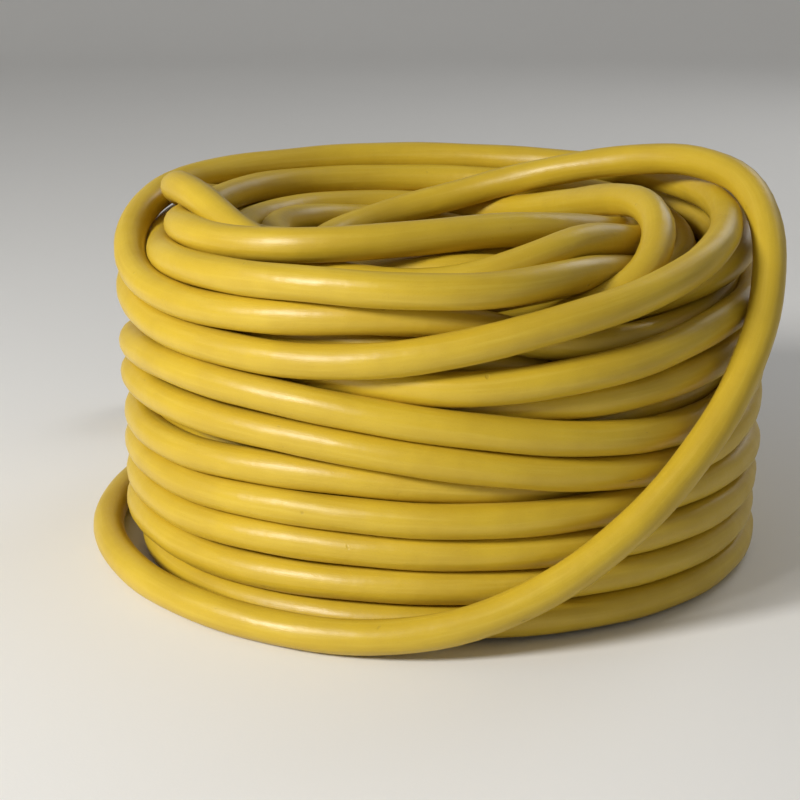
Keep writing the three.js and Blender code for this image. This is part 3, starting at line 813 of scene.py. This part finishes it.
RELIEF_SIDES = 72
RELIEF_RINGS = 5
RELIEF_PITCH = 0.25  # between loops
SLEEVE_BORE = 5.5  # radius inside
MOUTH = {"inside": 2, "lip": 0.4, "radius": 5.9, "rounding": 0.7}
TAPER_CURVE = 1.15
SLOTS_START = 3
PLAIN_LENGTH = 9  # what the slots leave plain at the two ends together
SLOT = {"centre": 1.2, "slope": 0.55, "fullness": 1.6, "depth": 2.4, "floor": 6.1}
BRIDGE_START = 0.86  # cosine of the angle at which the bridge across a slot begins
BRIDGE_BLEND = 0.06


def bend_relief_loops(length, mouth, root):
    """A tapered sleeve with slots that take turns, so that it bends with the cord."""
    turn = np.linspace(0, 2 * math.pi, RELIEF_SIDES, endpoint=False)
    pitch = (length - PLAIN_LENGTH) / RELIEF_RINGS
    loops = [
        circle(MOUTH["inside"], SLEEVE_BORE, RELIEF_SIDES),
        circle(MOUTH["lip"], SLEEVE_BORE, RELIEF_SIDES),
        circle(0, MOUTH["radius"], RELIEF_SIDES),
    ]
    for x in np.arange(0, length + RELIEF_PITCH / 2, RELIEF_PITCH):
        taper = mouth + (root - mouth) * (x / length) ** TAPER_CURVE
        lip = MOUTH["rounding"] * max(0, 1 - x / MOUTH["rounding"]) ** 2
        ring, within = divmod(max(x - SLOTS_START, 0), pitch)
        in_slot = 0
        if x > SLOTS_START and ring < RELIEF_RINGS:
            in_slot = np.clip(SLOT["fullness"] - abs(within - SLOT["centre"]) / SLOT["slope"], 0, 1)
        across = np.abs(np.cos(turn + math.pi / 2 * ring))
        bridge = np.clip((across - BRIDGE_START) / BRIDGE_BLEND, 0, 1)
        depth = np.minimum(SLOT["depth"], taper - SLOT["floor"]) * in_slot * (1 - bridge)
        loops.append(circle(x, taper - lip - depth, RELIEF_SIDES))
    return loops


def add_shell(name, node, loops, exit_point, turned_round):
    mesh = skin([placed(loop, exit_point, turned_round) for loop in loops], name)
    piece = add_piece(name, mesh, "overmould")
    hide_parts(node)
    return piece


PLUG_GRIP = (56, 74)
CONNECTOR_GRIP = (56, 80)
RELIEF_MOUTH = 7.45

add_shell(
    "plug_overmould", "plug_body",
    shell_loops(PLUG_STATIONS, PLUG_FACE, PLUG_WINDOW, PLUG_GRIP), PLUG_EXIT, turned_round=False)
add_shell(
    "plug_bend_relief", "plug_strain_relief",
    bend_relief_loops(length=36, mouth=RELIEF_MOUTH, root=10.5), PLUG_EXIT, turned_round=False)
connector_skin = shell_loops(CONNECTOR_STATIONS, CONNECTOR_FACE, CONNECTOR_WINDOW, CONNECTOR_GRIP)
connector_overmould = add_shell(
    "connector_overmould", "connector_body", connector_skin, CONNECTOR_EXIT, turned_round=True)
connector_bend_relief = add_shell(
    "connector_bend_relief", "connector_strain_relief",
    bend_relief_loops(length=34, mouth=RELIEF_MOUTH, root=11.1), CONNECTOR_EXIT, turned_round=True)

# ---- blades and ground pin ----------------------------------------------------------------

BLADE = {"back": 61, "tip": 95.5, "half": 0.75, "chamfer": 1.3, "hole_x": 89.5, "hole": 1.6}
BLADE_Z = -4.5
HALF_SPREAD = 6.35  # the blades stand twice this apart
EDGE_PARTS = 4  # each straight edge of a blade is cut in so many, as the hole needs points too
BLADE_ROUNDING = 0.18
ROUNDED_ANGLE = math.radians(35)
PIN = {"y": 0, "z": 7.4, "radius": 2.4, "back": 61, "tip": 98.5}
PIN_SIDES = 40
PIN_STEPS = 10
PIN_SPAN = 9.2  # a little more than the last step, so that the tip ends in a small flat


def blade_loops(y, z, width):
    """A stamped blade: chamfered at the tip, with the usual small hole."""
    half, chamfer, tip = width / 2, BLADE["chamfer"], BLADE["tip"]
    corners = [
        (BLADE["back"], -half), (tip - chamfer, -half), (tip, -half + chamfer),
        (tip, half - chamfer), (tip - chamfer, half), (BLADE["back"], half),
    ]
    edge = []
    for (x0, z0), (x1, z1) in zip(corners, corners[1:] + corners[:1]):
        edge += [
            (x0 + (x1 - x0) * k / EDGE_PARTS, z0 + (z1 - z0) * k / EDGE_PARTS)
            for k in range(EDGE_PARTS)
        ]
    edge = np.array(edge)
    out = edge - (BLADE["hole_x"], 0)
    hole = BLADE["hole"] * out / np.linalg.norm(out, axis=1, keepdims=True) + (BLADE["hole_x"], 0)

    def loop(points, side):
        face = np.full(len(points), y + side * BLADE["half"])
        return np.column_stack([points[:, 0], face, points[:, 1] + z])

    return np.array([loop(hole, -1), loop(edge, -1), loop(edge, 1), loop(hole, 1)])


def add_blade(name, node, y, z, width):
    """The blade as a mesh: its loops joined up in a ring, since the hole goes right through."""
    loops = blade_loops(y, z, width)
    rows, sides = loops.shape[:2]
    points = placed(loops.reshape(-1, 3), PLUG_EXIT, False)
    faces = []
    for row in range(rows):
        for k in range(sides):
            n = (k + 1) % sides
            a, b = row * sides, (row + 1) % rows * sides
            faces.append((a + k, a + n, b + n, b + k))
    mesh = bpy.data.meshes.new(name)
    mesh.from_pydata(points.tolist(), [], faces)
    piece = add_piece(name, mesh, "brass")
    bevel = piece.modifiers.new("rounded edges", "BEVEL")
    bevel.width = BLADE_ROUNDING * MM
    bevel.segments = 2
    bevel.limit_method = "ANGLE"
    bevel.angle_limit = ROUNDED_ANGLE
    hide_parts(node)


def add_ground_pin():
    """A round pin with a rounded tip."""
    straight = PIN["tip"] - PIN["radius"]
    loops = [circle(PIN["back"], PIN["radius"], PIN_SIDES, PIN["y"], PIN["z"])]
    for step in range(PIN_STEPS):
        angle = math.pi / 2 * step / PIN_SPAN
        x = straight + PIN["radius"] * math.sin(angle)
        loops.append(circle(x, PIN["radius"] * math.cos(angle), PIN_SIDES, PIN["y"], PIN["z"]))
    mesh = skin([placed(loop, PLUG_EXIT, False) for loop in loops], "plug_pin_round")
    piece = add_piece("plug_pin_round", mesh, "brass")
    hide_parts("plug_ground_pin")


add_blade("plug_blade_hot", "plug_hot_blade", HALF_SPREAD, BLADE_Z, width=6.35)
add_blade("plug_blade_neutral", "plug_neutral_blade", -HALF_SPREAD, BLADE_Z, width=7.9)
add_ground_pin()

# ---- indicator lens -----------------------------------------------------------------------

LENS = {"x": 50, "radius": 3.8, "bottom": 13.2, "shoulder": 16.3, "top": 17.8, "chamfer": 0.4}
LENS_SIDES = 48
DOME_STEPS = 11
DOME_SPAN = 11.5  # a little more than the last step, so that the dome ends in a small flat
DOME_FULLNESS = 0.8


def upright(radius, z):
    """Points round the lens's own upright axis."""
    turn = np.linspace(0, 2 * math.pi, LENS_SIDES, endpoint=False)
    x, y = LENS["x"] + radius * np.cos(turn), radius * np.sin(turn)
    return np.column_stack([x, y, np.full(LENS_SIDES, z)])


def add_lens():
    """A short round window with a low dome on it."""
    radius, shoulder = LENS["radius"], LENS["shoulder"]
    rise = LENS["top"] - shoulder
    loops = [upright(radius - LENS["chamfer"], LENS["bottom"]), upright(radius, LENS["bottom"])]
    loops.append(upright(radius, shoulder))
    for step in range(1, DOME_STEPS + 1):
        angle = math.pi / 2 * step / DOME_SPAN
        loops.append(upright(radius * math.cos(angle) ** DOME_FULLNESS, shoulder + rise * math.sin(angle)))
    mesh = skin([placed(loop, CONNECTOR_EXIT, True) for loop in loops], "indicator_dome")
    piece = add_piece("indicator_dome", mesh, "lens")
    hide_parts("indicator_lens")
    return piece


indicator_dome = add_lens()

# ---- studio -------------------------------------------------------------------------------

STAGE_RINGS = (0.02, 0.35, 0.9, 1.7)  # radii of the flat part's rings
STAGE_SIDES = 96
STAGE_CORNER = 0.8
CORNER_STEPS = 16
STAGE_WALL = 1.6
PAPER = (0.88, 0.88, 0.87)
PAPER_SHADE = (0.85, 0.85, 0.845)


def stage_mesh():
    """A round floor that curves up into a wall, open at the top."""
    profile = [(radius, 0) for radius in STAGE_RINGS]
    for step in range(1, CORNER_STEPS + 1):
        angle = math.pi / 2 * step / CORNER_STEPS
        height = STAGE_CORNER * (1 - math.cos(angle))
        profile.append((STAGE_RINGS[-1] + STAGE_CORNER * math.sin(angle), height))
    profile.append((STAGE_RINGS[-1] + STAGE_CORNER, STAGE_WALL))
    turn = np.linspace(0, 2 * math.pi, STAGE_SIDES, endpoint=False)
    mesh = skin([
        np.column_stack([radius * np.cos(turn), radius * np.sin(turn), np.full(STAGE_SIDES, z)])
        for radius, z in profile
    ], "studio_floor")
    with_lid = bmesh.new()
    with_lid.from_mesh(mesh)
    with_lid.faces.ensure_lookup_table()
    lid = max(with_lid.faces, key=lambda face: face.calc_center_median().z)
    bmesh.ops.delete(with_lid, geom=[lid], context="FACES_ONLY")
    with_lid.to_mesh(mesh)
    with_lid.free()
    mesh.shade_smooth()
    return mesh


def paper_material():
    """Plain pale paper, a little cloudy and with a faint tooth."""
    s = Shader("pale_paper")
    cloud = s.noise(scale=3, detail=3, roughness=0.5)
    s.relief(s.noise(scale=900, detail=3, roughness=0.6), depth=0.0001, strength=0.3)
    shade = s.mix(cloud, PAPER, PAPER_SHADE)
    return s.finish(shade, s.ramp(cloud, low=0.3, high=0.7, start=0.6, end=0.72))


def add_stage():
    """The pale floor and wall, the same from every side."""
    floor = bpy.data.objects.new("studio_floor", stage_mesh())
    bpy.context.collection.objects.link(floor)
    floor.data.materials.append(paper_material())


def add_light(name, place, target, size, power, colour=(1.0, 1.0, 1.0)):
    """A soft round lamp that looks at the target."""
    data = bpy.data.lights.new(name, "AREA")
    data.shape = "DISK"
    data.size = size
    data.energy = power
    data.color = colour
    lamp = bpy.data.objects.new(name, data)
    lamp.location = place
    lamp.rotation_euler = (Vector(target) - Vector(place)).to_track_quat("-Z", "Y").to_euler()
    bpy.context.collection.objects.link(lamp)


def add_world(colour, strength):
    """Even light from all round."""
    world = bpy.data.worlds.new("studio")
    world.use_nodes = True
    background = world.node_tree.nodes["Background"]
    background.inputs["Color"].default_value = colour
    background.inputs["Strength"].default_value = strength
    bpy.context.scene.world = world


add_stage()
add_world(colour=(1.0, 0.98, 0.95, 1.0), strength=0.22)
add_light(
    "key", place=(-0.85, -0.7, 0.65), target=(0, -0.05, 0.06), size=0.3, power=15,
    colour=(1.0, 0.98, 0.94))
add_light("back", place=(0.8, 0.9, 0.9), target=(0, 0, 0.05), size=0.7, power=3)
bpy.context.scene.view_settings.view_transform = "Standard"
